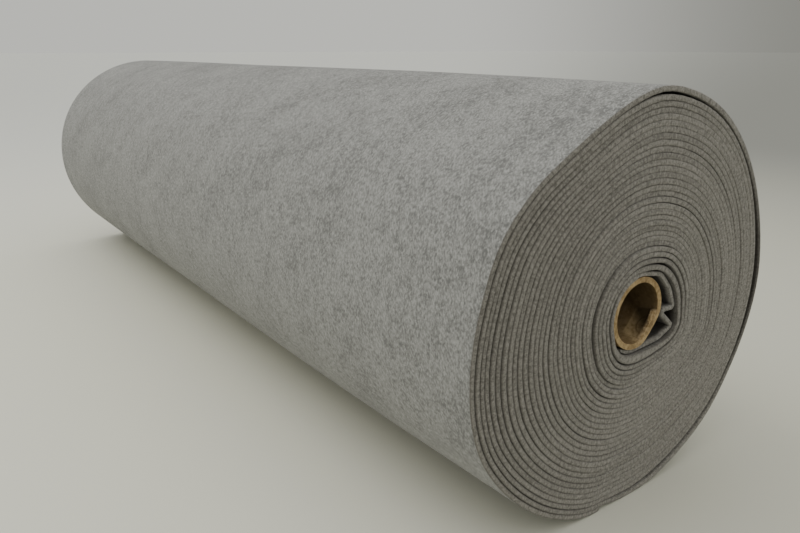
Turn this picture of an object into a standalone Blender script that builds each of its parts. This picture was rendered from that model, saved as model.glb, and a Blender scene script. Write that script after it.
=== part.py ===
"""A roll of grey needled felt, 0.9 m wide, wound on a cardboard core.

Metres, +Z up. The roll lies on its side with its axis along X. The origin is on the floor,
under the middle of the roll. The end at +X is the open one: its outer wrap has slackened,
the felt's inner end is crumpled beside the core, and the rim of the core is torn there.
Angles are in degrees about the roll's axis, from +Y towards +Z.
"""

import math
from collections import namedtuple

import bmesh
import bpy
from mathutils import Vector

# Driving sizes of the winding
FELT_WIDTH = 0.900
AXIS_HEIGHT = 0.1279
LAP_CLEARANCE = 0.0003
FELT_THICKNESS = 0.0030
OVAL = 0.009
EDGE_ROUND = 0.0012

# Winding angles where the felt begins beside the core and where its outer end lies
INNER_START = 101.5
OUTER_TAIL = -99.0
TAIL_RAMP = 10.0

# Driving sizes of the core
CORE_OUTER_RADIUS = 0.02275
CORE_INNER_RADIUS = 0.01925
CORE_RISE = 0.00167
CORE_SETBACK = 0.0005

# Mesh density
ANGLE_STEPS = 96
CORE_STEPS = 60
SHELL_STATIONS = (0.425, 0.37, 0.28, 0.15, 0.0, -0.15, -0.30, -0.42)
EYE_STATIONS = (-0.43, -0.15, 0.15, 0.43)
INNER_CORNER_SHARE = 0.012
OUTER_CORNER_SHARE = 0.99

Girth = namedtuple("Girth", "place x radius")
GIRTHS = (
    Girth("far end", -0.450, 0.1345),
    Girth("far quarter", -0.250, 0.1352),
    Girth("middle", 0.000, 0.1350),
    Girth("near quarter", 0.250, 0.1338),
    Girth("near end", 0.450, 0.1320),
)

# Places where the winding is pressed in from a true round; reach is how far from the near end
FlatSpot = namedtuple("FlatSpot", "place angle depth half_width reach")
FLAT_SPOTS = (
    FlatSpot("upper shoulder", 122.0, 0.0074, 34.0, 0.30),
    FlatSpot("lower shoulder", -138.0, 0.0028, 22.0, 0.25),
    FlatSpot("beside the floor", -70.0, 0.0034, 22.0, 0.25),
)

# Where the outermost wrap stands off the winding under it
Slack = namedtuple("Slack", "place angle gap half_width")
SLACKS = (
    Slack("right side", -12.0, 0.0052, 58.0),
    Slack("towards the top", 56.0, 0.0009, 52.0),
)
SLACK_REACH = 0.22
SLOT_DEPTH = 0.060
SLOT_FROM = -66.0
SLOT_TO = 96.0
SLOT_STEP = 6.0
LEAST_SLOT = 0.0003

# The eye of the roll: radius of the winding's inner face along its first turn
EyePoint = namedtuple("EyePoint", "place angle radius")
EYE = (
    EyePoint("meets the core", 101.5, 0.02475),
    EyePoint("upper left of the core", 135.0, 0.02430),
    EyePoint("left of the core", 160.0, 0.02365),
    EyePoint("level with the core", 180.0, 0.02305),
    EyePoint("lower left of the core", 198.0, 0.02255),
    EyePoint("wedge gap opens", 207.0, 0.02300),
    EyePoint("wedge gap", 217.0, 0.02395),
    EyePoint("wedge gap, lower end", 226.0, 0.02425),
    EyePoint("end of the tucked layer", 236.0, 0.02480),
    EyePoint("tucked layer", 247.0, 0.02485),
    EyePoint("tucked layer, middle", 258.0, 0.02470),
    EyePoint("below the core", 270.0, 0.02450),
    EyePoint("pocket floor begins", 284.0, 0.02510),
    EyePoint("pocket floor", 293.0, 0.02640),
    EyePoint("pocket floor middle", 306.0, 0.02960),
    EyePoint("pocket floor rising", 316.5, 0.03380),
    EyePoint("pocket corner", 326.0, 0.03840),
    EyePoint("pocket tip", 336.0, 0.04180),
    EyePoint("above the tip", 342.0, 0.04215),
    EyePoint("right wall", 354.0, 0.03930),
    EyePoint("right wall, upper", 370.0, 0.03710),
    EyePoint("upper right", 382.0, 0.03510),
    EyePoint("pocket roof", 399.0, 0.03270),
    EyePoint("pocket roof, middle", 415.0, 0.03100),
    EyePoint("pocket roof falling", 430.0, 0.02920),
    EyePoint("above the core", 444.0, 0.02840),
    EyePoint("one lap up", 461.5, 0.02830),
)

# Relief of the end faces: how far each band of laps stands out of the plane of the cut
Band = namedtuple("Band", "place share near_out far_out")
BANDS = (
    Band("eye", 0.00, 0.0004, 0.0000),
    Band("inner laps", 0.03, 0.0012, 0.0005),
    Band("inner laps end", 0.14, 0.0012, 0.0008),
    Band("sunk lap", 0.17, -0.0012, 0.0002),
    Band("middle laps", 0.21, 0.0002, 0.0000),
    Band("middle laps end", 0.44, 0.0004, 0.0008),
    Band("double groove", 0.48, -0.0008, 0.0010),
    Band("outer laps", 0.52, 0.0003, 0.0002),
    Band("outer laps end", 0.78, 0.0000, 0.0000),
    Band("last laps", 0.86, -0.0006, 0.0006),
    Band("outer wrap", 0.96, -0.0004, 0.0008),
    Band("rounded corner", 0.99, -0.0004, 0.0008),
)

# Torn rim of the core, reckoned about the core's own axis
Tear = namedtuple("Tear", "place angle inner outer")
TEARS = (
    Tear("whole wall", -82.0, 0.01925, 0.02275),
    Tear("lower rag", -73.0, 0.01800, 0.02265),
    Tear("lower notch", -67.0, 0.01480, 0.02235),
    Tear("lower tongue", -56.0, 0.01420, 0.02120),
    Tear("middle of the dent", -41.0, 0.01360, 0.02060),
    Tear("upper tongue", -30.0, 0.01260, 0.02095),
    Tear("tip of the flap", -19.0, 0.01120, 0.02170),
    Tear("upper notch", -11.0, 0.01560, 0.02235),
    Tear("whole wall again", -4.0, 0.01925, 0.02275),
)
TEAR_DEPTH = 0.016

# Crumpled inner end: corners of its route in the section of the roll, with the fold's radius
Corner = namedtuple("Corner", "place y z radius")
CORNERS = (
    Corner("leaves the core", 0.0199, 0.0229, 0.0140),
    Corner("shoulder", 0.0307, 0.0115, 0.0200),
    Corner("first fold", 0.0371, -0.0022, 0.0019),
    Corner("fold beside the core", 0.0217, -0.0012, 0.0019),
    Corner("second fold", 0.0386, -0.0154, 0.0019),
    Corner("pocket floor", 0.0255, -0.0211, 0.0140),
)
INNER_END_THICKNESS = 0.0028
WRAP_OFFSET = 0.00173
WRAP_FROM = 99.5
WRAP_LEAVES = 80.0
TUCK_FROM = -90.0
TUCK_ENDS = -119.0
INNER_END_SETBACK = 0.0015

# A rounded corner is drawn in steps of this turn, but never longer than this
FOLD_STEP = 20.0
FOLD_REACH = 0.0022

FELT_GREY = (0.30, 0.30, 0.29, 1.0)
FELT_EDGE_GREY = (0.22, 0.21, 0.19, 1.0)
CARDBOARD_TAN = (0.42, 0.27, 0.12, 1.0)


def clear_scene():
    for obj in list(bpy.data.objects):
        bpy.data.objects.remove(obj, do_unlink=True)


def plain_material(name, colour, roughness):
    material = bpy.data.materials.new(name)
    material.use_nodes = True
    shader = material.node_tree.nodes["Principled BSDF"]
    shader.inputs["Base Color"].default_value = colour
    shader.inputs["Roughness"].default_value = roughness
    shader.inputs["Metallic"].default_value = 0.0
    return material


def bump(angle, centre, half_width):
    """1 at the centre, falling smoothly to 0 at half_width degrees on either side."""
    away = abs((angle - centre + 180.0) % 360.0 - 180.0)
    if away >= half_width:
        return 0.0
    return math.cos(math.pi / 2 * away / half_width) ** 2


def between(rows, key, value, at):
    """A column of a table, read with a straight line between its rows."""
    for low, high in zip(rows, rows[1:]):
        if getattr(low, key) <= at <= getattr(high, key):
            span = getattr(high, key) - getattr(low, key)
            share = (at - getattr(low, key)) / span
            return getattr(low, value) * (1 - share) + getattr(high, value) * share
    end = rows[0] if at < getattr(rows[0], key) else rows[-1]
    return getattr(end, value)


def eye_radius(past_start):
    """Smooth curve through the eye's rows, for an angle counted on from the first row."""
    turn = INNER_START + past_start
    index = max(i for i in range(len(EYE) - 1) if EYE[i].angle <= turn)
    rows = [EYE[min(max(index + k, 0), len(EYE) - 1)] for k in (-1, 0, 1, 2)]
    low, high = rows[1], rows[2]
    span = high.angle - low.angle
    share = (turn - low.angle) / span
    rise_low = (high.radius - rows[0].radius) / (high.angle - rows[0].angle) * span
    rise_high = (rows[3].radius - low.radius) / (rows[3].angle - low.angle) * span
    square, cube = share**2, share**3
    return (
        (2 * cube - 3 * square + 1) * low.radius
        + (cube - 2 * square + share) * rise_low
        + (3 * square - 2 * cube) * high.radius
        + (cube - square) * rise_high
    )


def near_fade(x, reach):
    return math.exp(-(FELT_WIDTH / 2 - x) / reach)


def slack(angle, x):
    gap = sum(row.gap * bump(angle, row.angle, row.half_width) for row in SLACKS)
    return gap * near_fade(x, SLACK_REACH)


def tight_radius(angle, x):
    """Outer face of the winding where it lies snug, flattened where it meets the floor."""
    radius = between(GIRTHS, "x", "radius", x)
    radius *= 1 + OVAL * math.cos(math.radians(2 * angle))
    for spot in FLAT_SPOTS:
        pressed = bump(angle, spot.angle, spot.half_width)
        radius -= spot.depth * pressed * near_fade(x, spot.reach)
    down = -math.sin(math.radians(angle))
    if down > 0:
        radius = min(radius, AXIS_HEIGHT / down)
    return radius


def outer_radius(angle, x, past_tail):
    """Outer face of the roll. Just past the felt's outer end it is one lap further in."""
    radius = tight_radius(angle, x) + slack(angle, x)
    if past_tail < TAIL_RAMP:
        ramp = past_tail / TAIL_RAMP
        rise = ramp * ramp * (3 - 2 * ramp)
        radius -= (FELT_THICKNESS + LAP_CLEARANCE) * (1 - rise)
    return radius


def winding_angles():
    """One turn from the tail on, with a second station at each of the two steps."""
    step = 360.0 / ANGLE_STEPS
    stations = [(OUTER_TAIL + step * i, step * i) for i in range(ANGLE_STEPS)]
    stations.append((OUTER_TAIL - 0.2, 359.8))
    stations.append((INNER_START - 0.3, (INNER_START - 0.3 - OUTER_TAIL) % 360.0))
    stations.append((INNER_START, (INNER_START - OUTER_TAIL) % 360.0))
    return sorted(stations, key=lambda station: station[1])


def face_ring(share, side):
    """One ring of an end face, share 0 at the eye and 1 at the outer edge."""
    half = FELT_WIDTH / 2
    column = "near_out" if side > 0 else "far_out"
    out = between(BANDS, "share", column, share)
    corner = EDGE_ROUND if share in (0.0, 1.0) else 0.0
    ring = []
    for angle, past_tail in winding_angles():
        past_start = (angle - INNER_START) % 360.0
        eye = eye_radius(past_start)
        rim = outer_radius(angle, side * half, past_tail)
        radius = eye + (rim - eye) * share
        ring.append(on_section(angle, radius, side * (half + out - corner)))
    return ring


def shell_ring(x):
    return [
        on_section(angle, outer_radius(angle, x, past_tail), x)
        for angle, past_tail in winding_angles()
    ]


def eye_ring(x):
    return [
        on_section(angle, eye_radius((angle - INNER_START) % 360.0), x)
        for angle, _ in winding_angles()
    ]


def on_section(angle, radius, x):
    turn = math.radians(angle)
    return Vector((x, radius * math.cos(turn), radius * math.sin(turn)))


def mesh_object(name, bm, material):
    bmesh.ops.recalc_face_normals(bm, faces=bm.faces)
    mesh = bpy.data.meshes.new(name)
    bm.to_mesh(mesh)
    bm.free()
    mesh.materials.append(material)
    mesh.shade_smooth()
    mesh.set_sharp_from_angle(angle=math.radians(35))
    obj = bpy.data.objects.new(name, mesh)
    bpy.context.scene.collection.objects.link(obj)
    return obj


def loft(rings, closed):
    """Quads between each ring and the next; closed joins the last to the first, else it caps."""
    bm = bmesh.new()
    loops = [[bm.verts.new(point) for point in ring] for ring in rings]
    pairs = list(zip(loops, loops[1:]))
    if closed:
        pairs.append((loops[-1], loops[0]))
    else:
        bm.faces.new(loops[0])
        bm.faces.new(loops[-1])
    for first, second in pairs:
        count = len(first)
        for i in range(count):
            j = (i + 1) % count
            bm.faces.new((first[i], first[j], second[j], second[i]))
    return bm


def felt_roll(material):
    """The wound felt as one body: end face, shell, other end face and the eye through it."""
    shares = [0.0, INNER_CORNER_SHARE] + [row.share for row in BANDS[1:-1]]
    shares += [OUTER_CORNER_SHARE, 1.0]
    near = [face_ring(share, 1) for share in shares]
    far = [face_ring(share, -1) for share in reversed(shares)]
    shell = [shell_ring(x) for x in SHELL_STATIONS]
    eye = [eye_ring(x) for x in EYE_STATIONS]
    return mesh_object("felt_roll", loft(near + shell + far + eye, True), material)


def slack_slot(material):
    """Cutter for the crescent gap under the slackened outer wrap, deepest at the near end."""
    count = round((SLOT_TO - SLOT_FROM) / SLOT_STEP)
    angles = [SLOT_FROM + SLOT_STEP * i for i in range(count + 1)]
    sections = []
    for x, share in ((FELT_WIDTH / 2 + 0.006, 1.0), (FELT_WIDTH / 2 - SLOT_DEPTH, 0.35)):
        over, under = [], []
        for angle in angles:
            wrap = FELT_THICKNESS + LAP_CLEARANCE
            roof = tight_radius(angle, x) + slack(angle, x) - wrap
            gap = max(slack(angle, x) * share, LEAST_SLOT)
            over.append(on_section(angle, roof, x))
            under.append(on_section(angle, roof - gap, x))
        sections.append(over + under[::-1])
    cutter = mesh_object("slack_slot", loft(sections, False), material)
    cutter.hide_render = True
    cutter.display_type = "WIRE"
    return cutter


def core_section(x, torn):
    """Outer and inner ring of the core at x; torn 0 is the whole wall, 1 is the torn rim."""
    outer, inner = [], []
    for i in range(CORE_STEPS):
        angle = -180.0 + 360.0 / CORE_STEPS * i
        ragged_in = between(TEARS, "angle", "inner", angle)
        ragged_out = between(TEARS, "angle", "outer", angle)
        for ring, whole, ragged in (
            (outer, CORE_OUTER_RADIUS, ragged_out),
            (inner, CORE_INNER_RADIUS, ragged_in),
        ):
            radius = whole + (ragged - whole) * torn
            ring.append(on_section(angle, radius, x) + Vector((0, 0, CORE_RISE)))
    return outer, inner


def cardboard_core(material):
    rim = FELT_WIDTH / 2 - CORE_SETBACK
    stations = (
        (rim, 1.0),
        (rim - TEAR_DEPTH * 0.4, 0.9),
        (rim - TEAR_DEPTH * 0.75, 0.45),
        (rim - TEAR_DEPTH, 0.0),
        (0.0, 0.0),
        (-rim, 0.0),
    )
    sections = [core_section(x, torn) for x, torn in stations]
    outers = [outer for outer, _ in sections]
    inners = [inner for _, inner in reversed(sections)]
    return mesh_object("cardboard_core", loft(outers + inners, True), material)


def arc(centre, radius, start, stop, step):
    """Points of an arc between two angles, both ends included."""
    count = max(2, math.ceil(abs(stop - start) / step))
    points = []
    for i in range(count + 1):
        turn = math.radians(start + (stop - start) * i / count)
        points.append(centre + radius * Vector((math.cos(turn), math.sin(turn))))
    return points


def rounded(before, corner, after, radius):
    """The corner replaced by an arc that meets both of its straight sides."""
    back, ahead = (before - corner).normalized(), (after - corner).normalized()
    half = back.angle(ahead) / 2
    middle = corner + (back + ahead).normalized() * (radius / math.sin(half))
    first = corner + back * (radius / math.tan(half)) - middle
    last = corner + ahead * (radius / math.tan(half)) - middle
    sweep = math.degrees(-first.angle_signed(last))
    start = math.degrees(math.atan2(first.y, first.x))
    return arc(middle, radius, start, start + sweep, min(FOLD_STEP, math.degrees(FOLD_REACH / radius)))


def inner_end_route():
    """Centre line of the loose inner end, in the section of the roll."""
    core = Vector((0.0, CORE_RISE))
    wrap = CORE_OUTER_RADIUS + WRAP_OFFSET
    over_core = arc(core, wrap, WRAP_FROM, WRAP_LEAVES, 6.0)
    tuck = arc(core, wrap, TUCK_FROM, TUCK_ENDS, 5.0)
    route = list(over_core)
    corners = [Vector((row.y, row.z)) for row in CORNERS]
    stops = [over_core[-1]] + corners + [tuck[0]]
    for row, before, corner, after in zip(CORNERS, stops, corners, stops[2:]):
        route += rounded(before, corner, after, row.radius)
    return route + tuck


def inner_end(material):
    """The felt's inner end: it leaves the core, folds back twice and tucks under the core."""
    route = inner_end_route()
    left, right = [], []
    for i, point in enumerate(route):
        along = (route[min(i + 1, len(route) - 1)] - route[max(i - 1, 0)]).normalized()
        across = Vector((-along.y, along.x)) * (INNER_END_THICKNESS / 2)
        left.append(point + across)
        right.append(point - across)
    outline = left + right[::-1]
    half = FELT_WIDTH / 2
    places = (half - INNER_END_SETBACK, 0.0, -half + INNER_END_SETBACK)
    sections = [[Vector((x, point.x, point.y)) for point in outline] for x in places]
    return mesh_object("inner_end", loft(sections, False), material)


def main():
    clear_scene()
    felt = plain_material("felt", FELT_GREY, 0.95)
    felt_edge = plain_material("felt_edge", FELT_EDGE_GREY, 0.97)
    cardboard = plain_material("cardboard", CARDBOARD_TAN, 0.8)
    roll = felt_roll(felt)
    cutter = slack_slot(felt)
    cut = roll.modifiers.new("slack_slot", "BOOLEAN")
    cut.operation = "DIFFERENCE"
    cut.solver = "EXACT"
    cut.object = cutter
    core = cardboard_core(cardboard)
    tucked = inner_end(felt_edge)
    axis = bpy.data.objects.new("roll_axis", None)
    bpy.context.scene.collection.objects.link(axis)
    points = [vertex.co for vertex in roll.data.vertices]
    middle_x = (max(p.x for p in points) + min(p.x for p in points)) / 2
    middle_y = (max(p.y for p in points) + min(p.y for p in points)) / 2
    axis.location = (-middle_x, -middle_y, AXIS_HEIGHT)
    for obj in (roll, cutter, core, tucked):
        obj.parent = axis
    bpy.context.view_layer.update()


main()
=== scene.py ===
"""A roll of grey needled felt on its cardboard core, lying on a pale floor.

Metres, +Z up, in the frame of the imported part. The roll's axis runs along X, and the end at +X
is the open one. Angles are in degrees about the roll's axis, from +Y towards +Z.
"""

import math

import bpy
import numpy as np
from mathutils import Euler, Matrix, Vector, noise


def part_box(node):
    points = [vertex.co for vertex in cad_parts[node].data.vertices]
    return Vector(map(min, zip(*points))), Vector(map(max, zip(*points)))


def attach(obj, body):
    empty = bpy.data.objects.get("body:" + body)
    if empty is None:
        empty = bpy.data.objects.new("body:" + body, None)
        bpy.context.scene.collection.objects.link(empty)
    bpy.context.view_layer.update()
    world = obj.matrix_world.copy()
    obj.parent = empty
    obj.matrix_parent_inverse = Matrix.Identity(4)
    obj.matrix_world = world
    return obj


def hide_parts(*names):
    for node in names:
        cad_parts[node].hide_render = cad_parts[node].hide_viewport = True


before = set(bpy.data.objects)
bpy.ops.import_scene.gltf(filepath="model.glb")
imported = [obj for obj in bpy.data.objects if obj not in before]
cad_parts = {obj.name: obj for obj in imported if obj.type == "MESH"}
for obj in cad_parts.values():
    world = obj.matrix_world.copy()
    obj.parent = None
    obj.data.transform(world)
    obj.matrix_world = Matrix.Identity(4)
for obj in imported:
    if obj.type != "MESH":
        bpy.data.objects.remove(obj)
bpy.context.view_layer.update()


# The felt
# One length of grey needled felt, 0.9 m wide and about 16 m long, cut square. Its inner end is
# crumpled beside the core, it is wound 30 times round, and its outer wrap has gone slack.
FELT_WIDTH = 0.900
FELT_THICKNESS = 0.0035
PITCH = 0.00332
INNER_END_THICKNESS = 0.0028
AXIS_HEIGHT = 0.1279
OVAL = 0.009

# The paper tube sits a little high in the winding, so the roll's axis is just under its middle
CORE_RISE = 0.00167
core_low, core_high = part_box("cardboard_core")
roll_low, roll_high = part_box("felt_roll")
AXIS_Y = (core_low[1] + core_high[1]) / 2
AXIS_Z = (core_low[2] + core_high[2]) / 2 - CORE_RISE
MIDDLE_X = (roll_low[0] + roll_high[0]) / 2

# Windings: where the first lap starts beside the core, and where the cloth ends under the roll
FIRST_LAP_AT = 101.5
LAST_LAP_ENDS_AT = 261.0
FULL_LAPS = 30
END_SHARE = (LAST_LAP_ENDS_AT - FIRST_LAP_AT) / 360.0
ALL_TURNS = FULL_LAPS + END_SHARE
# degrees past the cloth's outer end over which the lap above it comes down, at most and at least
TAIL_EASE = 130.0
TAIL_RAMP = 10.0

# place along the axis, radius
GIRTHS = np.array(
    [
        (-0.450, 0.1352),
        (-0.300, 0.1360),
        (-0.150, 0.1360),
        (-0.050, 0.1357),
        (0.050, 0.1361),
        (0.150, 0.1368),
        (0.250, 0.1365),
        (0.350, 0.1358),
        (0.450, 0.1345),
    ]
)
# the open end: angle, radius of the roll's outside, gap under the outermost wrap
OPEN_RIM = (
    (-90.0, 0.1282, 0.0000),
    (-82.0, 0.1291, 0.0006),
    (-75.0, 0.1300, 0.0012),
    (-67.0, 0.1307, 0.0016),
    (-60.0, 0.1317, 0.0017),
    (-52.0, 0.1334, 0.0022),
    (-45.0, 0.1346, 0.0021),
    (-37.0, 0.1346, 0.0018),
    (-30.0, 0.1347, 0.0020),
    (-22.0, 0.1357, 0.0025),
    (-15.0, 0.1366, 0.0034),
    (-7.0, 0.1374, 0.0043),
    (0.0, 0.1374, 0.0045),
    (7.0, 0.1362, 0.0038),
    (15.0, 0.1347, 0.0031),
    (22.0, 0.1340, 0.0025),
    (30.0, 0.1336, 0.0019),
    (45.0, 0.1338, 0.0015),
    (60.0, 0.1343, 0.0016),
    (75.0, 0.1339, 0.0016),
    (90.0, 0.1332, 0.0014),
    (97.0, 0.1306, 0.0008),
    (105.0, 0.1275, 0.0002),
    (112.0, 0.1254, 0.0000),
    (120.0, 0.1246, 0.0000),
    (128.0, 0.1256, 0.0000),
    (135.0, 0.1281, 0.0000),
    (143.0, 0.1304, 0.0000),
    (150.0, 0.1319, 0.0000),
    (165.0, 0.1314, 0.0000),
    (180.0, 0.1327, 0.0000),
    (195.0, 0.1340, 0.0000),
    (203.0, 0.1340, 0.0000),
    (210.0, 0.1329, 0.0000),
    (225.0, 0.1310, 0.0000),
    (240.0, 0.1308, 0.0000),
    (255.0, 0.1309, 0.0000),
    (270.0, 0.1282, 0.0000),
)
# how far in from the open end its uneven outline and the slack of its wrap fade
RIM_REACH = 0.25
SLACK_REACH = 0.22
# angle on from the first lap's start, radius of the winding's inner face
EYE = (
    (101.5, 0.02475),
    (135.0, 0.02430),
    (160.0, 0.02365),
    (180.0, 0.02305),
    (198.0, 0.02255),
    (207.0, 0.02300),
    (217.0, 0.02395),
    (226.0, 0.02425),
    (236.0, 0.02480),
    (247.0, 0.02485),
    (258.0, 0.02470),
    (270.0, 0.02450),
    (284.0, 0.02510),
    (293.0, 0.02640),
    (306.0, 0.02960),
    (316.5, 0.03380),
    (326.0, 0.03840),
    (336.0, 0.04180),
    (342.0, 0.04215),
    (354.0, 0.03930),
    (370.0, 0.03710),
    (382.0, 0.03510),
    (399.0, 0.03270),
    (415.0, 0.03100),
    (430.0, 0.02920),
    (444.0, 0.02840),
    (461.5, 0.02830),
)
# share of a lap from which the eye closes to one pitch, and share of the way out that it shapes
EYE_CLOSES_FROM = 0.88
EYE_SHAPES_TO = 0.35
# powers of the way out by which the outer laps stop bending over the cloth's end and the gaps
BEND_POWER = 16
GAP_POWER = 10
# turn, half width in turns, gap: where a lap stands clear of the one under it
LOOSE_LAPS = (
    (1.20, 0.22, 0.0013),
    (1.43, 0.26, 0.0008),
    (1.68, 0.27, 0.0014),
    (1.92, 0.22, 0.0008),
    (2.80, 0.26, 0.0005),
    (3.82, 0.24, 0.0004),
    (4.84, 0.20, 0.0004),
    (5.20, 0.22, 0.0009),
    (7.67, 0.12, 0.0005),
    (8.30, 0.20, 0.0004),
    (12.80, 0.24, 0.0008),
    (13.79, 0.20, 0.0006),
    (16.30, 0.20, 0.0003),
    (20.83, 0.10, 0.0004),
    (21.85, 0.10, 0.0004),
    (25.20, 0.18, 0.0003),
    (26.22, 0.16, 0.0003),
    (27.20, 0.18, 0.0004),
    (28.24, 0.20, 0.0004),
    (28.95, 0.12, 0.0003),
    (29.32, 0.24, 0.0006),
    (30.30, 0.20, 0.0004),
)
# turn, half width in turns, extra thickness where nothing presses on the felt
LOFTY_LAPS = ((0.48, 0.22, 0.0021), (0.80, 0.14, 0.0005))
# laps over which the winding takes up such a gap again
GAP_SPREAD = 8
# small gaps at seeded places: how many, the widest, and their half width in turns
SMALL_GAPS = 120
SMALL_GAP = 0.00024
SMALL_GAP_LEAST_TURNS = 0.05
SMALL_GAP_MORE_TURNS = 0.22
# the gap between all laps, and the wider one at the left with its middle and half width
TIGHT_GAP = 0.00002
LEFT_GAP = 0.00006
LEFT_GAP_ARC = (180.0, 130.0)


def window(angle, centre, half_width):
    """1 at the centre, falling smoothly to 0 at half_width degrees on either side."""
    away = np.abs((angle - centre + 180.0) % 360.0 - 180.0)
    return np.cos(np.pi / 2 * np.minimum(away / half_width, 1.0)) ** 2


def ease(share):
    """0 below 0, 1 above 1, smooth between."""
    share = np.clip(share, 0.0, 1.0)
    return share * share * (3 - 2 * share)


NOISE_GAIN = 1.6


def wobble(x, y, z):
    """Smooth noise between -1 and 1 with features about 1 across."""
    flat = np.broadcast_arrays(x, y, z)
    points = np.stack([part.ravel() for part in flat], axis=1)
    values = [noise.noise(Vector(point)) for point in points]
    return np.array(values).reshape(flat[0].shape) * NOISE_GAIN


def curve_through(rows, at, column=1):
    """Smooth curve through the rows of a table."""
    places = np.array([row[0] for row in rows])
    values = np.array([row[column] for row in rows])
    rises = np.gradient(values, places)
    index = np.clip(np.searchsorted(places, at, side="right") - 1, 0, len(places) - 2)
    span = places[index + 1] - places[index]
    share = (at - places[index]) / span
    square, cube = share**2, share**3
    return (
        (2 * cube - 3 * square + 1) * values[index]
        + (cube - 2 * square + share) * rises[index] * span
        + (3 * square - 2 * cube) * values[index + 1]
        + (cube - square) * rises[index + 1] * span
    )


def near_fade(x, reach):
    """1 at the open end, less with every reach inwards."""
    return np.exp(-(FELT_WIDTH / 2 - x) / reach)


def plain_radius(angle, x):
    girth = np.interp(x, GIRTHS[:, 0], GIRTHS[:, 1])
    return girth * (1 + OVAL * np.cos(np.radians(2 * angle)))


def open_rim(angle, column):
    return curve_through(OPEN_RIM, (angle + 90.0) % 360.0 - 90.0, column)


def rim_gap(angle):
    return np.maximum(open_rim(angle, 2), 0.0)


def radius_to_floor(angle):
    return AXIS_HEIGHT / np.maximum(-np.sin(np.radians(angle)), 1e-6)


def tight_radius(angle, x):
    """Outer face of the winding where it lies snug, flattened where it meets the floor."""
    rim = open_rim(angle, 1) - rim_gap(angle)
    out_of_round = rim - plain_radius(angle, FELT_WIDTH / 2)
    radius = plain_radius(angle, x) + out_of_round * near_fade(x, RIM_REACH)
    return np.minimum(radius, radius_to_floor(angle))


def slack(angle, x):
    return rim_gap(angle) * near_fade(x, SLACK_REACH)


# The loose laps of the table, and small seeded ones so that no two laps lie alike
draws = np.random.default_rng(11)
loose_rows = list(LOOSE_LAPS)
for _ in range(SMALL_GAPS):
    place, half_width, share = draws.random(3)
    turn = 1 + (FULL_LAPS - 1) * place
    half_width = SMALL_GAP_LEAST_TURNS + SMALL_GAP_MORE_TURNS * half_width
    loose_rows.append((turn, half_width, SMALL_GAP * share))


def swells(rows, turns):
    """Sum of the rows' swells at a number of turns on from the start of the winding."""
    total = np.zeros(turns.shape)
    for place, half_width, depth in rows:
        away = np.minimum(np.abs(turns - place) / half_width, 1.0)
        total += depth * np.cos(np.pi / 2 * away) ** 2
    return total


def pushed_out(turns):
    """How far the gaps further in push a lap outwards, before the winding has taken them up."""
    pushed = np.zeros(turns.shape)
    for lap in range(GAP_SPREAD):
        opening = swells(loose_rows, turns - lap) + swells(LOFTY_LAPS, turns - 1 - lap)
        pushed += opening * (1 - lap / GAP_SPREAD)
    return pushed


def lap_faces(turns, x):
    """Inner and outer radius of the felt, a number of turns on from its start, at x."""
    lap = np.floor(turns)
    share = turns - lap
    angle = FIRST_LAP_AT + 360.0 * share
    past_tail = (share - END_SHARE) * 360.0
    before_tail = past_tail < 0
    laps = np.where(before_tail, FULL_LAPS + 1, FULL_LAPS)

    snug = tight_radius(angle, x)
    last_step = EYE[-1][1] - EYE[0][1]
    closing = ease((share - EYE_CLOSES_FROM) / (1 - EYE_CLOSES_FROM))
    eye = curve_through(EYE, angle) + (PITCH - last_step) * closing
    eased = np.where(before_tail, 0.0, PITCH * (1 - ease(past_tail / TAIL_EASE)))
    sharp = np.where(before_tail, 0.0, PITCH * (1 - ease(past_tail / TAIL_RAMP)))

    def face(number, pushed):
        """The inner laps lie parallel to the eye, and the outer ones to the roll's outside."""
        out = np.clip((number + share) / ALL_TURNS, 0.0, 1.0)
        by_eye = eye + PITCH * number
        by_outside = snug - eased - PITCH * (laps - number)
        bend = (eased - sharp) * out**BEND_POWER
        mixed = by_eye + (by_outside - by_eye) * ease((out - EYE_SHAPES_TO) / (1 - EYE_SHAPES_TO))
        return mixed + bend + pushed * (1 - out**GAP_POWER)

    inner = face(lap, pushed_out(turns))
    next_inner = face(lap + 1, pushed_out(turns + 1))
    loose = LEFT_GAP * window(angle, *LEFT_GAP_ARC) + TIGHT_GAP
    gap = swells(loose_rows, turns + 1) * (1 - ((lap + 1) / laps) ** GAP_POWER)
    lofty = FELT_THICKNESS + swells(LOFTY_LAPS, turns)
    thickness = np.minimum(lofty, next_inner - inner - gap - loose)
    last = turns > ALL_TURNS - 1
    outer = np.where(last, next_inner, inner + thickness)
    outer = outer + np.where(last, slack(angle, x), 0.0)
    outer = np.where(last, np.minimum(outer, radius_to_floor(angle)), outer)
    return outer - thickness, outer


# The loose inner end: place in the section of the roll, and the radius of the fold there
FOLDS = (
    (0.0199, 0.0229, 0.0140),
    (0.0307, 0.0115, 0.0200),
    (0.0371, -0.0022, 0.0019),
    (0.0217, -0.0012, 0.0019),
    (0.0386, -0.0154, 0.0019),
    (0.0255, -0.0211, 0.0140),
)
CORE_OUTER_RADIUS = 0.02275
WRAP_OFFSET = 0.00173
WRAP_FROM = 99.5
WRAP_LEAVES = 80.0
TUCK_FROM = -90.0
TUCK_ENDS = -121.0
# degrees between the points of an arc on the core, and at most in a fold, and metres in a fold
ARC_STEP = 5.0
FOLD_STEP = 15.0
FOLD_FACET = 0.0022


def arc(centre, radius, start, stop, step):
    """Points of an arc between two angles, both ends included."""
    count = max(2, math.ceil(abs(stop - start) / step))
    turns = np.radians(np.linspace(start, stop, count + 1))
    return [np.array(centre) + radius * np.array((math.cos(t), math.sin(t))) for t in turns]


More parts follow.
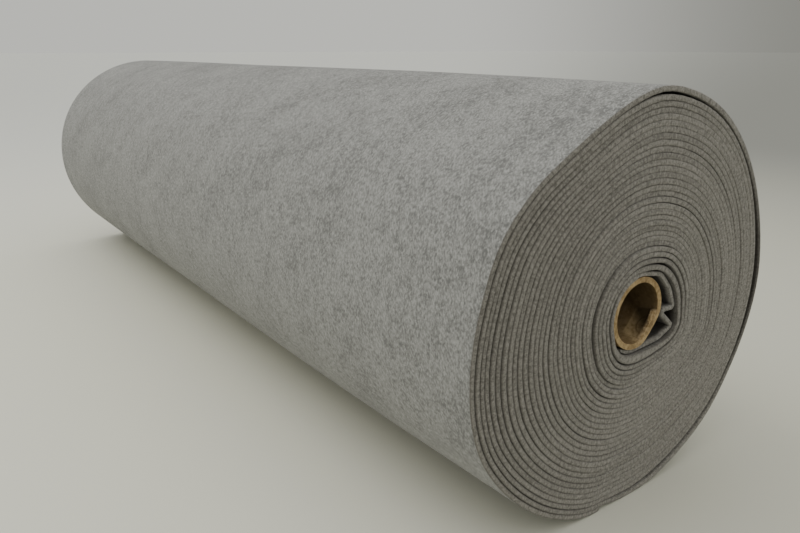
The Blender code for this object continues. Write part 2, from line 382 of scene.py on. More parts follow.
def fold(before, corner, after, radius):
    """The corner replaced by an arc that meets both of its straight sides."""
    back, ahead = Vector(before - corner).normalized(), Vector(after - corner).normalized()
    half = back.angle(ahead) / 2
    middle = Vector(corner) + (back + ahead).normalized() * (radius / math.sin(half))
    first = Vector(corner) + back * (radius / math.tan(half)) - middle
    last = Vector(corner) + ahead * (radius / math.tan(half)) - middle
    sweep = math.degrees(-first.angle_signed(last))
    start = math.degrees(math.atan2(first.y, first.x))
    step = min(FOLD_STEP, math.degrees(FOLD_FACET / radius))
    return arc(middle, radius, start, start + sweep, step)


def inner_end_route():
    """Centre line of the loose inner end, from its tucked edge to the start of the first lap."""
    core = np.array((0.0, CORE_RISE))
    wrap = CORE_OUTER_RADIUS + WRAP_OFFSET
    over_core = arc(core, wrap, WRAP_FROM, WRAP_LEAVES, ARC_STEP)
    tuck = arc(core, wrap, TUCK_FROM, TUCK_ENDS, ARC_STEP)
    corners = [np.array(row[:2]) for row in FOLDS]
    stops = [over_core[-1]] + corners + [tuck[0]]
    route = list(over_core)
    for row, before, corner, after in zip(FOLDS, stops, corners, stops[2:]):
        route += fold(before, corner, after, row[2])
    return np.array((route + tuck)[::-1])


# Stations along the winding: on the first lap, more on each further lap, and the last one's room
FIRST_LAP_STATIONS = 48
MORE_STATIONS = 1.4
LAST_STATION_ROOM = 0.004


def lap_stations():
    """Number of turns at each station along the winding, closer together on the small laps."""
    stations = []
    for lap in range(FULL_LAPS + 1):
        count = round(FIRST_LAP_STATIONS + MORE_STATIONS * lap)
        stations += [lap + i / count for i in range(count)]
    last_full = ALL_TURNS - LAST_STATION_ROOM
    return np.array([turns for turns in stations if turns < last_full] + [ALL_TURNS])


# Stations across the felt, and the rounding of its two cut edges
ACROSS = (0.4445, 0.436, 0.400, 0.330, 0.220, 0.080, -0.080, -0.220, -0.330, -0.400, -0.4445)
NEAR_DOME = (-1.0, -0.88, -0.55, 0.0, 0.55, 0.88, 1.0)
FAR_DOME = (1.0, 0.6, 0.0, -0.6, -1.0)
DOME_POWER = 2.2
DOME = 0.0003
LEFT_DOME = 0.0006
# middle and half width of the left side, where the laps lie loosest, and of the slack wrap
LEFT_SIDE = (178.0, 125.0)
SLACK_SIDE = (3.0, 55.0)


def felt_loop():
    """Columns round the felt's section: which edge (+1, 0, -1), side -1 to 1, and place along X."""
    columns = [(1, side, 0.0) for side in NEAR_DOME]
    columns += [(0, 1.0, x) for x in ACROSS]
    columns += [(-1, side, 0.0) for side in FAR_DOME]
    columns += [(0, -1.0, x) for x in ACROSS[::-1]]
    return np.array(columns).T


# share of the way out, how far the laps stand out of the cut plane at the open and the far end
BANDS = np.array(
    [
        (0.00, 0.0002, 0.0000),
        (0.03, 0.0008, 0.0005),
        (0.14, 0.0008, 0.0008),
        (0.17, -0.0004, 0.0002),
        (0.21, 0.0002, 0.0000),
        (0.44, 0.0003, 0.0008),
        (0.48, -0.0003, 0.0010),
        (0.52, 0.0003, 0.0002),
        (0.78, 0.0000, 0.0000),
        (0.86, -0.0003, 0.0006),
        (0.96, -0.0002, 0.0008),
        (1.00, -0.0002, 0.0008),
    ]
)
# a lap's own unevenness and its fine one: height, then the noise's step per lap, its circle once
# round the roll, and its shift between the two ends
OWN_RELIEF, OWN_STEP, OWN_CIRCLE, OWN_SHIFT = 0.0004, 0.9, 0.35, 3.3
FINE_RELIEF, FINE_STEP, FINE_CIRCLE, FINE_SHIFT = 0.00018, 2.1, 1.6, 9.0


def edge_relief(turns, edge):
    """How far a lap stands out of the cut plane, from the bands and its own small unevenness."""
    share = np.clip(turns / ALL_TURNS, 0.0, 1.0)
    near = np.interp(share, BANDS[:, 0], BANDS[:, 1])
    far = np.interp(share, BANDS[:, 0], BANDS[:, 2])
    band = np.where(edge > 0, near, np.where(edge < 0, far, 0.0))
    angle = np.radians(360.0 * turns)
    sideways, upwards = np.cos(angle), np.sin(angle)
    lap = np.floor(turns) + ease(turns % 1.0)
    own_place = lap * OWN_STEP + OWN_SHIFT * edge
    own = wobble(own_place, OWN_CIRCLE * sideways, OWN_CIRCLE * upwards)
    fine_place = FINE_CIRCLE * sideways + FINE_SHIFT * edge
    fine = wobble(turns * FINE_STEP, fine_place, FINE_CIRCLE * upwards)
    return band + OWN_RELIEF * own + FINE_RELIEF * fine


edge, side, place = felt_loop()
route = inner_end_route()
turns = lap_stations()
loop_count = len(edge)
route_count = len(route)
station_count = route_count + len(turns)

# The flat felt: a grid with its length along Y, wound up row by row
bpy.ops.object.select_all(action="DESELECT")
bpy.ops.mesh.primitive_grid_add(
    x_subdivisions=loop_count, y_subdivisions=station_count - 1, size=1.0, calc_uvs=True
)
felt = bpy.context.object
felt.name = "felt"
flat = np.empty(len(felt.data.vertices) * 3)
felt.data.vertices.foreach_get("co", flat)
flat = flat.reshape(-1, 3)
column = np.rint((flat[:, 0] + 0.5) * loop_count).astype(int) % loop_count
row = np.rint((flat[:, 1] + 0.5) * (station_count - 1)).astype(int)

# Place along the axis of every row and column. The inner end lies further in than the laps, by
# a setback that shrinks along it and waves a little.
INNER_END_SETBACK = (0.0016, 0.0004)
INNER_END_WAVE = 0.0005
INNER_END_WAVE_RADIANS = 9.0
all_turns = np.concatenate([np.zeros(route_count), turns])
edges = np.broadcast_to(edge, (station_count, loop_count))
relief = edge_relief(all_turns[:, None], edges)
setback = np.zeros(station_count)
setback[:route_count] = np.linspace(*INNER_END_SETBACK, route_count)
wave = np.sin(np.linspace(0.0, INNER_END_WAVE_RADIANS, route_count))
setback[:route_count] += INNER_END_WAVE * wave
left_side = window(FIRST_LAP_AT + 360.0 * all_turns, *LEFT_SIDE)
dome = DOME + LEFT_DOME * left_side
drop = 1 - (1 - np.abs(side) ** DOME_POWER) ** (1 / DOME_POWER)
reach = FELT_WIDTH / 2 + relief - setback[:, None] - dome[:, None] * drop[None, :]
x = np.where(edges == 0, place[None, :], edges * reach)

# Place in the section of the roll: the laps by their two faces, the inner end by its route
THINNED_EDGE = (0.45, 0.7, 0.85, 0.95)
inner, outer = lap_faces(turns[:, None], x[route_count:])
radius = inner + (outer - inner) * (side[None, :] + 1) / 2
angle = np.radians(FIRST_LAP_AT + 360.0 * turns)[:, None]
section = np.empty((station_count, loop_count, 3))
section[..., 0] = x
section[route_count:, :, 1] = radius * np.cos(angle)
section[route_count:, :, 2] = radius * np.sin(angle)
route_ahead = np.gradient(route, axis=0)
route_ahead /= np.linalg.norm(route_ahead, axis=1)[:, None]
route_out = np.stack([-route_ahead[:, 1], route_ahead[:, 0]], axis=1)
thick = np.full(route_count, INNER_END_THICKNESS)
thick[: len(THINNED_EDGE)] *= THINNED_EDGE
shift = -route_out[:, None, :] * (side[None, :, None] * thick[:, None, None] / 2)
section[:route_count, :, 1:] = route[:, None, :] + shift
section += np.array((MIDDLE_X, AXIS_Y, AXIS_Z))
felt.data.vertices.foreach_set("co", section[row, column].ravel())

# Lengths along the cloth and round its section, for the pattern. One station of the outer laps
# stands for the section of all.
SAMPLE_STATION = -300
CLOSING_STEP = 0.001
middle_line = section[:, :, 1:].mean(axis=1)
steps = np.linalg.norm(np.diff(middle_line, axis=0), axis=1)
along = np.concatenate([[0.0], np.cumsum(steps)])
loop_steps = np.linalg.norm(np.diff(section[SAMPLE_STATION], axis=0), axis=1)
around = np.concatenate([[0.0], np.cumsum(loop_steps)])
around = np.append(around, around[-1] + CLOSING_STEP)
uv = felt.data.uv_layers.active
corner = np.empty(len(felt.data.loops) * 2)
uv.data.foreach_get("uv", corner)
corner = corner.reshape(-1, 2)
corner_column = np.rint(corner[:, 0] * loop_count).astype(int)
corner_row = np.rint(corner[:, 1] * (station_count - 1)).astype(int)
uv.data.foreach_set("uv", np.stack([around[corner_column], along[corner_row]], axis=1).ravel())
uv.name = "cloth"

# What the finish reads: how much a point looks cut, the side of the cloth, how loosely the laps
# lie, and how much painted shade a gap gets there. The outermost side of the wrap looks less cut
# and gets no painted shade.
BESIDE_CUT = 0.75
WRAP_CUT = 0.4
CUT_FROM = 0.44
GAP_FROM = 0.43
LEFT_LOOSENESS, OUTWARD_LOOSENESS = 0.35, 0.65
LOOSENESS_PER_METRE = 500.0
CORNER_GAP_SHADE, LOOSE_GAP_SHADE = 0.04, 0.13
SLACK_EDGE_SHADE = 0.75
SLACK_LIT_FROM = 0.25
is_wrap = all_turns > ALL_TURNS - 1
outside = is_wrap[:, None] & (side == 1.0)[None, :]
beside = np.where(np.abs(place) > CUT_FROM, BESIDE_CUT, 0.0)
cut_values = np.where(edge != 0, 1.0, beside)[None, :]
cut_values = np.where(outside, np.where(edge != 0, WRAP_CUT, 0.0)[None, :], cut_values)

out = np.clip(all_turns / FULL_LAPS, 0.0, 1.0)
openings = swells(loose_rows, all_turns) + swells(loose_rows, all_turns + 1)
looseness = left_side * (LEFT_LOOSENESS + OUTWARD_LOOSENESS * out) + LOOSENESS_PER_METRE * openings
looseness = np.repeat(looseness[:, None], loop_count, axis=1)
sides = np.repeat(side[None, :], station_count, axis=0)

# Painted shade in the gaps between laps: full on the faces deep in a gap, a little at the cut
# corners, more where the laps lie loose
is_corner = (edge != 0) & (np.abs(side) == 1.0)
is_gap = (edge == 0) & (np.abs(place) > GAP_FROM)
painted_corner_shade = CORNER_GAP_SHADE + LOOSE_GAP_SHADE * np.minimum(looseness, 1.0)
painted_gap_shade = np.where(is_gap, 1.0, np.where(is_corner, painted_corner_shade, 0.0))
# Painted shade over the cut edge of the slack wrap, fading out towards the wrap's outer side
on_slack = window(FIRST_LAP_AT + 360.0 * all_turns, *SLACK_SIDE) * is_wrap
lit = ease((side - SLACK_LIT_FROM) / (1 - SLACK_LIT_FROM))
painted_slack_shade = SLACK_EDGE_SHADE * on_slack[:, None] ** 0.5 * (1 - lit)[None, :]
painted_gap_shade = np.where(edges > 0, np.maximum(painted_gap_shade, painted_slack_shade), painted_gap_shade)
painted_gap_shade = np.where(outside, 0.0, painted_gap_shade)
values_by_name = {"cut": cut_values, "side": sides, "loose": looseness, "painted_gap_shade": painted_gap_shade}
for name, values in values_by_name.items():
    attribute = felt.data.attributes.new(name, "FLOAT", "POINT")
    attribute.data.foreach_set("value", values[row, column].astype(np.float32))

# The long sides of the grid meet, and the two cut ends are closed
FELT_WELD = 0.000001
bpy.ops.object.mode_set(mode="EDIT")
bpy.ops.mesh.select_mode(type="VERT")
bpy.ops.mesh.select_all(action="SELECT")
bpy.ops.mesh.remove_doubles(threshold=FELT_WELD)
bpy.ops.mesh.select_all(action="DESELECT")
bpy.ops.mesh.select_non_manifold()
bpy.ops.mesh.fill()
bpy.ops.mesh.select_all(action="SELECT")
bpy.ops.mesh.normals_make_consistent(inside=False)
bpy.ops.object.mode_set(mode="OBJECT")
bpy.ops.object.shade_smooth_by_angle(angle=math.radians(50))


class Shade:
    """A shader socket with arithmetic: an expression on values adds its Math nodes."""

    # sockets of the colour Mix node
    MIX_FACTOR, MIX_FIRST, MIX_SECOND, MIXED = 0, 6, 7, 2

    def __init__(self, tree, socket=None):
        self.tree = tree
        self.socket = socket

    def node(self, kind, settings=None, **inputs):
        """A node with its settings, then its sockets by name, or by number as _0, _1 and so on."""
        made = self.tree.nodes.new(kind)
        for name, value in (settings or {}).items():
            setattr(made, name, value)
        for name, value in inputs.items():
            key = int(name[1:]) if name[0] == "_" else name.replace("_", " ")
            self.put(made, key, value)
        return made

    def put(self, made, key, value):
        if isinstance(value, Shade):
            self.tree.links.new(value.socket, made.inputs[key])
        else:
            made.inputs[key].default_value = value

    def pick(self, made, output):
        return Shade(self.tree, made.outputs[output])

    def math(self, operation, *values):
        inputs = {f"_{i}": value for i, value in enumerate(values)}
        return self.pick(self.node("ShaderNodeMath", {"operation": operation}, **inputs), 0)

    def __add__(self, other):
        return self.math("ADD", self, other)

    def __radd__(self, other):
        return self.math("ADD", other, self)

    def __sub__(self, other):
        return self.math("SUBTRACT", self, other)

    def __rsub__(self, other):
        return self.math("SUBTRACT", other, self)

    def __mul__(self, other):
        return self.math("MULTIPLY", self, other)

    def __rmul__(self, other):
        return self.math("MULTIPLY", other, self)

    def __truediv__(self, other):
        return self.math("DIVIDE", self, other)

    def __pow__(self, other):
        return self.math("POWER", self, other)

    def __abs__(self):
        return self.math("ABSOLUTE", self)

    def fraction(self):
        return self.math("FRACT", self)

    def between(self, low, high):
        """0 below low, 1 above high, smooth between."""
        settings = {"interpolation_type": "SMOOTHSTEP"}
        made = self.node("ShaderNodeMapRange", settings, Value=self, From_Min=low, From_Max=high)
        return self.pick(made, "Result")

    def noise(self, scale, detail=3.0, roughness=0.5):
        made = self.node(
            "ShaderNodeTexNoise", Vector=self, Scale=scale, Detail=detail, Roughness=roughness
        )
        return self.pick(made, "Fac")

    def fibres(self, width, length, turn, detail=2.0):
        """Noise in strokes of this width and length, turned this far from the cloth's length."""
        made = self.node(
            "ShaderNodeMapping",
            {"vector_type": "TEXTURE"},
            Vector=self,
            Scale=(width, length, 1.0),
            Rotation=(0.0, 0.0, math.radians(turn)),
        )
        return self.pick(made, "Vector").noise(scale=1.0, detail=detail, roughness=0.55)

    def attribute(self, name):
        return self.pick(self.node("ShaderNodeAttribute", {"attribute_name": name}), "Fac")

    def coordinates(self, kind):
        return self.pick(self.node("ShaderNodeTexCoord"), kind)

    def split(self):
        """X, Y and Z of a vector."""
        made = self.node("ShaderNodeSeparateXYZ", Vector=self)
        return [self.pick(made, axis) for axis in "XYZ"]

    def mix(self, first, second):
        """Colour first where this is 0, second where it is 1."""
        made = self.node("ShaderNodeMix", {"data_type": "RGBA"})
        self.put(made, self.MIX_FACTOR, self)
        for key, value in ((self.MIX_FIRST, first), (self.MIX_SECOND, second)):
            self.put(made, key, value if isinstance(value, Shade) else (*value, 1.0))
        return self.pick(made, self.MIXED)

    def feed(self, shader, name):
        self.tree.links.new(self.socket, shader.inputs[name])


def new_finish(name, roughness, specular):
    """A material with only its Principled shader; returns it, the shader and a start for maths."""
    material = bpy.data.materials.new(name)
    material.use_nodes = True
    tree = material.node_tree
    shader = tree.nodes["Principled BSDF"]
    shader.inputs["Roughness"].default_value = roughness
    shader.inputs["Specular IOR Level"].default_value = specular
    return material, shader, Shade(tree)


def bumps(start, shader, height, distance, strength):
    made = start.node("ShaderNodeBump", Height=height, Distance=distance, Strength=strength)
    start.pick(made, "Normal").feed(shader, "Normal")


# Marled felt: light grey fibre with dark grey fibre worked through it, browner where it is cut
LIGHT_FIBRE = (0.325, 0.325, 0.313)
MID_FIBRE = (0.210, 0.210, 0.202)
DARK_FIBRE = (0.090, 0.090, 0.087)
CUT_LIGHT = (0.318, 0.302, 0.272)
CUT_LOW = (0.140, 0.132, 0.116)
# painted shade for the grooves between laps
GROOVE_SHADE = (0.074, 0.067, 0.056)
# painted shade for the gaps between laps
GAP_SHADE_COLOUR = (0.018, 0.014, 0.010)
# how far dark fibre, the painted shade of the grooves and of loose laps, and the painted shade in
# the gaps cover what is under them
DARK_COVER = 0.62
GROOVE_SHADE_COVER = 0.10
LOOSE_GROOVE_SHADE_COVER = 0.50
LOOSE_LAP_SHADE_COVER = 0.16
GAP_SHADE_COVER = 0.93
SHEEN, SHEEN_ROUGHNESS = 0.12, 0.6

felt_finish, felt_shader, start = new_finish("marled_felt", roughness=0.95, specular=0.15)
cloth = start.pick(start.node("ShaderNodeUVMap", {"uv_map": "cloth"}), "UV")
on_roll = start.coordinates("Object")
flecks = cloth.fibres(width=0.0013, length=0.0025, turn=8.0)
crossing = cloth.fibres(width=0.0014, length=0.0032, turn=-34.0)
leaning = cloth.fibres(width=0.0012, length=0.0030, turn=38.0)
clumps = cloth.fibres(width=0.006, length=0.011, turn=20.0)
clouds = cloth.fibres(width=0.045, length=0.070, turn=-25.0)
fine = cloth.fibres(width=0.0005, length=0.0011, turn=10.0)
crowding = (clumps - 0.5) * 0.30 + (clouds - 0.5) * 0.20
dark_share = (flecks * 0.5 + crossing * 0.3 + fine * 0.2 + crowding).between(0.37, 0.52)
dark_share = (1 - dark_share) * DARK_COVER
light_share = leaning * 0.45 + fine * 0.25 + flecks * 0.3 + crowding * 0.5
light_share = light_share.between(0.45, 0.60)
face_colour = dark_share.mix(light_share.mix(MID_FIBRE, LIGHT_FIBRE), DARK_FIBRE)

# The cut edge: bristly and beaded along the laps, with painted shade towards the grooves between
# laps, more of it where the laps lie loose, and over the whole edge of loose laps
across = start.attribute("side")
looseness = start.attribute("loose").between(0.0, 1.0)
bristle = on_roll.noise(scale=1300.0, detail=2.0, roughness=0.6)
tufts = on_roll.noise(scale=520.0, detail=2.0, roughness=0.55)
stitches = cloth.fibres(width=0.005, length=0.0011, turn=0.0, detail=1.0)
lap_tone = cloth.fibres(width=2.0, length=0.16, turn=0.0, detail=1.0)
beads = stitches * 0.22 + tufts * 0.40 + bristle * 0.38 + (lap_tone - 0.5) * 0.16
groove_shade_cover = looseness * LOOSE_GROOVE_SHADE_COVER + GROOVE_SHADE_COVER
painted_groove_shade = (across * across).between(0.04, 0.95) * groove_shade_cover
cut_colour_and_shade = beads.between(0.37, 0.62).mix(CUT_LOW, CUT_LIGHT)
cut_colour_and_shade = (looseness * LOOSE_LAP_SHADE_COVER).mix(cut_colour_and_shade, GROOVE_SHADE)
cut_colour_and_shade = painted_groove_shade.mix(cut_colour_and_shade, GROOVE_SHADE)
cut_share = start.attribute("cut").between(0.35, 0.8)
colour = cut_share.mix(face_colour, cut_colour_and_shade)
# Painted shade in the gaps between laps and over the slack wrap's cut edge
gap_shade_share = start.attribute("painted_gap_shade").between(0.1, 1.0) * GAP_SHADE_COVER
gap_shade_share.mix(colour, GAP_SHADE_COLOUR).feed(felt_shader, "Base Color")
felt_shader.inputs["Sheen Weight"].default_value = SHEEN
felt_shader.inputs["Sheen Roughness"].default_value = SHEEN_ROUGHNESS
nap = flecks * 0.3 + crossing * 0.3 + fine * 0.4
height = nap * (1 - cut_share) + (bristle * 0.7 + tufts * 0.8 + stitches * 0.3) * cut_share
bumps(start, felt_shader, height, distance=0.0007, strength=0.9)
felt.data.materials.append(felt_finish)

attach(felt, "root")
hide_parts("felt_roll", "inner_end")


# The cardboard core
# A spiral-wound paper tube of four plies, 38.5 mm inside, cut just short of the felt. Its rim is
# torn at the lower right, where the split plies are pushed in and hang into the bore.
BORE_RADIUS = 0.01925
CORE_PLIES = 4
CORE_MIDDLE = (core_low[0], AXIS_Y, AXIS_Z + CORE_RISE)
CORE_LENGTH = core_high[0] - core_low[0]
FLAP_THICKNESS = 0.0020
TEAR_DEPTH = 0.016
# the rim: depth of its grooves, setback of each ply behind the next, and bevel as a share of one
RIM_GROOVE = 0.0003
PLY_SETBACK = 0.00005
PLY_BEVEL = 0.15
# depths of the rings that let the tear fade along the outside and the bore
OUTER_RING = 0.006
BORE_RINGS = (FLAP_THICKNESS, 2.4 * FLAP_THICKNESS, 0.010, TEAR_DEPTH)
# angle about the core, inner and outer radius of the torn rim
TORN_RIM = np.array(
    [
        (-84.0, 0.01925, 0.02275),
        (-78.0, 0.01890, 0.02270),
        (-73.0, 0.01800, 0.02260),
        (-67.0, 0.01710, 0.02235),
        (-56.0, 0.01650, 0.02120),
        (-48.0, 0.01570, 0.02080),
        (-41.0, 0.01600, 0.02060),
        (-30.0, 0.01540, 0.02095),
        (-22.0, 0.01490, 0.02150),
        (-15.0, 0.01490, 0.02200),
        (-10.0, 0.01530, 0.02240),
        (-7.5, 0.01620, 0.02260),
        (-5.5, 0.01880, 0.02270),
        (-4.0, 0.01925, 0.02275),
    ]
)

# depth behind the mouth, radius: over the outside, round the rim ply by ply, and back inside
tube_profile = [(depth, CORE_OUTER_RADIUS) for depth in (TEAR_DEPTH, OUTER_RING, RIM_GROOVE)]
ply = (CORE_OUTER_RADIUS - BORE_RADIUS) / CORE_PLIES
for number in range(CORE_PLIES):
    top = CORE_OUTER_RADIUS - ply * number
    tube_profile += [
        (PLY_SETBACK * number, top - PLY_BEVEL * ply),
        (PLY_SETBACK * number, top - (1 - PLY_BEVEL) * ply),
        (RIM_GROOVE, top - ply),
    ]
tube_profile += [(depth, BORE_RADIUS) for depth in BORE_RINGS]
tube_profile += [(CORE_LENGTH, BORE_RADIUS), (CORE_LENGTH, CORE_OUTER_RADIUS)]

CORE_WELD = 0.00001
bpy.ops.object.select_all(action="DESELECT")
bpy.ops.mesh.primitive_circle_add(
    vertices=180,
    radius=CORE_OUTER_RADIUS,
    location=CORE_MIDDLE,
    rotation=(0.0, math.radians(90), 0.0),
)
core = bpy.context.object
core.name = "core"
bpy.ops.object.transform_apply(location=True, rotation=True, scale=True)
bpy.ops.object.mode_set(mode="EDIT")
bpy.ops.mesh.select_all(action="SELECT")
previous_depth, previous_radius = CORE_LENGTH, CORE_OUTER_RADIUS
for depth, radius in tube_profile:
    bpy.ops.mesh.extrude_region_move(
        TRANSFORM_OT_translate={"value": (previous_depth - depth, 0.0, 0.0)}
    )
    shrink = radius / previous_radius
    bpy.ops.transform.resize(value=(1.0, shrink, shrink), center_override=CORE_MIDDLE)
    previous_depth, previous_radius = depth, radius
bpy.ops.mesh.select_all(action="SELECT")
bpy.ops.mesh.remove_doubles(threshold=CORE_WELD)
bpy.ops.mesh.normals_make_consistent(inside=False)
bpy.ops.object.mode_set(mode="OBJECT")

# The torn rim: behind the flap the bore keeps its wall, so the flap has a ragged free edge
FLAP_REACH = 1.2 * FLAP_THICKNESS
LEAST_HANG = 0.0001
HANG_POWER = 1.3
RAGGED = 0.0008
RAGGED_FULL_AT = 0.004
RAGGED_DEGREES = 4.0
RAGGED_WALL_STEPS = 7.0
# the flap's edge leans out of the mouth by a share of its hang, and unevenly
LEAN_SHARE = 0.10
LEAN_RAGGED = 0.0003
TORN_FULL_AT = 0.002
points = np.empty(len(core.data.vertices) * 3)
core.data.vertices.foreach_get("co", points)
points = points.reshape(-1, 3)
depth = core_high[0] - points[:, 0]
y, z = points[:, 1] - CORE_MIDDLE[1], points[:, 2] - CORE_MIDDLE[2]
angle, radius = np.degrees(np.arctan2(z, y)), np.hypot(y, z)
through_wall = np.clip((radius - BORE_RADIUS) / (CORE_OUTER_RADIUS - BORE_RADIUS), 0.0, 1.0)
torn_inner = np.interp(angle, TORN_RIM[:, 0], TORN_RIM[:, 1])
torn_outer = np.interp(angle, TORN_RIM[:, 0], TORN_RIM[:, 2])
fading = np.clip(1 - depth / TEAR_DEPTH, 0.0, 1.0)
pressed = (CORE_OUTER_RADIUS - torn_outer) * fading
is_flap = (depth < FLAP_REACH) & (torn_inner < BORE_RADIUS - LEAST_HANG)
hang = np.where(is_flap, BORE_RADIUS - pressed - torn_inner, 0.0)
hang = hang * (1 - through_wall) ** HANG_POWER
ragged = wobble(angle / RAGGED_DEGREES, RAGGED_WALL_STEPS * through_wall, 0.0)
ragged = ragged * np.minimum(hang / RAGGED_FULL_AT, 1.0)
radius = radius - pressed - hang + RAGGED * ragged
angle = np.radians(angle)
lean = hang * LEAN_SHARE + LEAN_RAGGED * ragged * np.sign(hang)
points[:, 0] -= np.where(depth < FLAP_THICKNESS, lean, 0.0)
points[:, 1] = CORE_MIDDLE[1] + radius * np.cos(angle)
points[:, 2] = CORE_MIDDLE[2] + radius * np.sin(angle)
core.data.vertices.foreach_set("co", points.ravel())
torn = core.data.attributes.new("torn", "FLOAT", "POINT")
torn.data.foreach_set("value", np.clip(hang / TORN_FULL_AT, 0.0, 1.0).astype(np.float32))
bpy.ops.object.shade_smooth_by_angle(angle=math.radians(35))

# Brown paper board, with the winding's seam, darker lines between plies and paler torn pulp, and
# painted shade for the bore
CARD_LOW = (0.29, 0.20, 0.095)
CARD_HIGH = (0.51, 0.38, 0.205)
PLY_LINE = (0.14, 0.088, 0.04)
SEAM = (0.17, 0.11, 0.05)
TORN_PULP = (0.56, 0.42, 0.27)
BORE_SHADE = (0.020, 0.012, 0.005)
WINDING_PITCH = 0.085
# how far each of these covers the board, the bore's painted shade last
PLY_LINE_COVER = 0.6
SEAM_COVER = 0.5
TORN_COVER = 0.6
BORE_SHADE_COVER = 0.94
card_finish, card_shader, start = new_finish("wound_paper", roughness=0.78, specular=0.12)
on_core = start.coordinates("Object")
along_core, y_on_core, z_on_core = on_core.split()
y_from_middle = y_on_core - CORE_MIDDLE[1]
z_from_middle = z_on_core - CORE_MIDDLE[2]
from_middle = (y_from_middle * y_from_middle + z_from_middle * z_from_middle) ** 0.5
turned = start.math("ARCTAN2", z_from_middle, y_from_middle) * (1 / math.tau)
winding = (turned + along_core * (1 / WINDING_PITCH)).fraction()
seam = 1 - abs(winding - 0.5).between(0.004, 0.010)
ply_place = ((from_middle - BORE_RADIUS) * (1 / ply)).fraction()
ply_line = abs(ply_place - 0.5).between(0.36, 0.5)
pulp = on_core.noise(scale=420.0, detail=4.0, roughness=0.6)
blotches = on_core.noise(scale=90.0, detail=3.0, roughness=0.5)
card = (pulp * 0.6 + blotches * 0.4).between(0.38, 0.62).mix(CARD_LOW, CARD_HIGH)
card = (ply_line * PLY_LINE_COVER).mix(card, PLY_LINE)
card = (seam * SEAM_COVER).mix(card, SEAM)
torn_share = start.attribute("torn")
card = (torn_share * pulp.between(0.35, 0.65) * TORN_COVER).mix(card, TORN_PULP)

# Painted shade: the bore is painted dark at once behind its mouth, but less so low down and further
# in, and less on the torn flap
PAINTED_LIGHT_DEPTH = 0.030
depth_in = core_high[0] - along_core
in_bore = 1 - from_middle.between(BORE_RADIUS - 0.0002, BORE_RADIUS + 0.0004)
how_low = z_from_middle * (-0.9 / BORE_RADIUS)
painted_low_light = (how_low + depth_in.between(0.0, PAINTED_LIGHT_DEPTH) * 0.6).between(0.45, 1.05)
painted_depth_shade = depth_in.between(-0.003, 0.004) * (1 - painted_low_light * 0.92)
painted_bore_shade = in_bore * painted_depth_shade * (1 - torn_share * 0.8) * BORE_SHADE_COVER
painted_bore_shade.mix(card, BORE_SHADE).feed(card_shader, "Base Color")
bumps(start, card_shader, pulp * 0.6 + ply_line * 0.4, distance=0.0003, strength=0.6)
core.data.materials.append(card_finish)

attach(core, "root")
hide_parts("cardboard_core")


# Floor
# Pale smooth paper, lit from all round as in a white tent. Far off it is painted with the tent's
# light, painted light towards the tent's bright side and painted shade towards its dark side at the
# right, so that no horizon shows.
FLOOR_SIZE = 80.0
FLOOR_TONE = (0.74, 0.73, 0.61)
FAR_PAINTED_LIGHT = (0.638, 0.643, 0.606)
FAR_PAINTED_SHADE = (0.241, 0.242, 0.221)
# distances between which the floor takes the tent's painted light and shade, and round the roll
# where it has none
FAR_FROM, FAR_TO = -0.4, 1.9
NEAR_ROLL = 0.35
# the tent is dark at the right of the picture: that direction, and how fast it turns dark
RIGHT_X, RIGHT_Y = 0.588, 0.809
DARK_FROM, DARK_TO = 0.05, 0.52


def tent_side(x, y, level):
    """0 towards the bright side of the tent, 1 towards its dark side."""
    return ((x * RIGHT_X + y * RIGHT_Y) / level).between(DARK_FROM, DARK_TO)


bpy.ops.object.select_all(action="DESELECT")
bpy.ops.mesh.primitive_plane_add(size=FLOOR_SIZE, location=(0.0, 0.0, 0.0))
floor = bpy.context.object
floor.name = "floor"
floor_finish, floor_shader, start = new_finish("pale_paper", roughness=0.6, specular=0.2)
floor_x, floor_y, _ = start.coordinates("Object").split()
distance = (floor_x * floor_x + floor_y * floor_y) ** 0.5
painted_far_tone = tent_side(floor_x, floor_y, distance + NEAR_ROLL).mix(FAR_PAINTED_LIGHT, FAR_PAINTED_SHADE)
paper_and_painted_light = distance.between(FAR_FROM, FAR_TO).mix(FLOOR_TONE, painted_far_tone)
paper_and_painted_light.feed(floor_shader, "Base Color")
floor.data.materials.append(floor_finish)


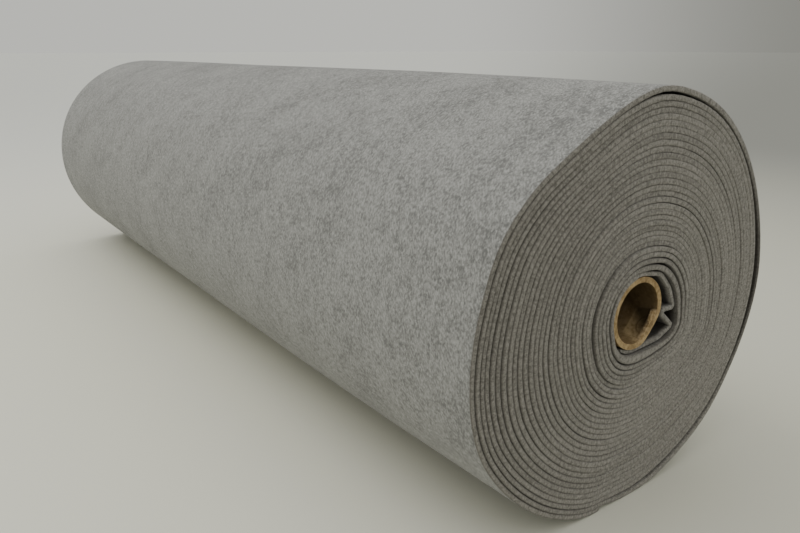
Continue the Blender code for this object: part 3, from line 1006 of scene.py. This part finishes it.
# Camera
# It stands at the open end, a little above the roll, as the photograph was taken. All that it
# sees is sharp.
CAMERA_FROM_AXIS = (0.68258, -0.34537, 0.15333)
YAW = 143.937
TILT = -17.315
SENSOR_MM = 36.0
IMAGE_WIDTH_PX = 800.0
FOCAL_PX = 703.69
camera_data = bpy.data.cameras.new("camera")
camera_data.sensor_width = SENSOR_MM
camera_data.lens = SENSOR_MM * FOCAL_PX / IMAGE_WIDTH_PX
camera = bpy.data.objects.new("camera", camera_data)
bpy.context.scene.collection.objects.link(camera)
camera.location = Vector((MIDDLE_X, AXIS_Y, AXIS_Z)) + Vector(CAMERA_FROM_AXIS)
camera.rotation_euler = Euler((math.radians(90.0 + TILT), 0.0, math.radians(YAW - 90.0)))
bpy.context.scene.camera = camera


# Light
# One wide soft lamp from the left and above, in a white tent that is brightest overhead and has
# a darker side at the right.
LAMP_AT = (-0.4, -0.9, 2.1)
LAMP_AIMS_AT = (-0.1, 0.0, 0.1)
LAMP_SIZE = 1.6
LAMP_WATTS = 12.0
LAMP_COLOUR = (1.0, 0.99, 0.95)
TENT_BRIGHT = (0.66, 0.66, 0.615)
TENT_DARK = (0.27, 0.27, 0.242)
TENT_TOP = (1.22, 1.22, 1.17)
TOP_FROM, TOP_TO = 0.10, 0.85
lamp_data = bpy.data.lights.new("overhead", "AREA")
lamp_data.shape = "DISK"
lamp_data.size = LAMP_SIZE
lamp_data.energy = LAMP_WATTS
lamp_data.color = LAMP_COLOUR
lamp = bpy.data.objects.new("overhead", lamp_data)
bpy.context.scene.collection.objects.link(lamp)
lamp.location = LAMP_AT
lamp_aim = Vector(LAMP_AIMS_AT) - Vector(LAMP_AT)
lamp.rotation_euler = lamp_aim.to_track_quat("-Z", "Y").to_euler()

world = bpy.data.worlds.new("white_tent")
world.use_nodes = True
looking_x, looking_y, looking_z = Shade(world.node_tree).coordinates("Generated").split()
level = (looking_x * looking_x + looking_y * looking_y) ** 0.5
walls = tent_side(looking_x, looking_y, level).mix(TENT_BRIGHT, TENT_DARK)
tent = looking_z.between(TOP_FROM, TOP_TO).mix(walls, TENT_TOP)
tent.feed(world.node_tree.nodes["Background"], "Color")
bpy.context.scene.world = world
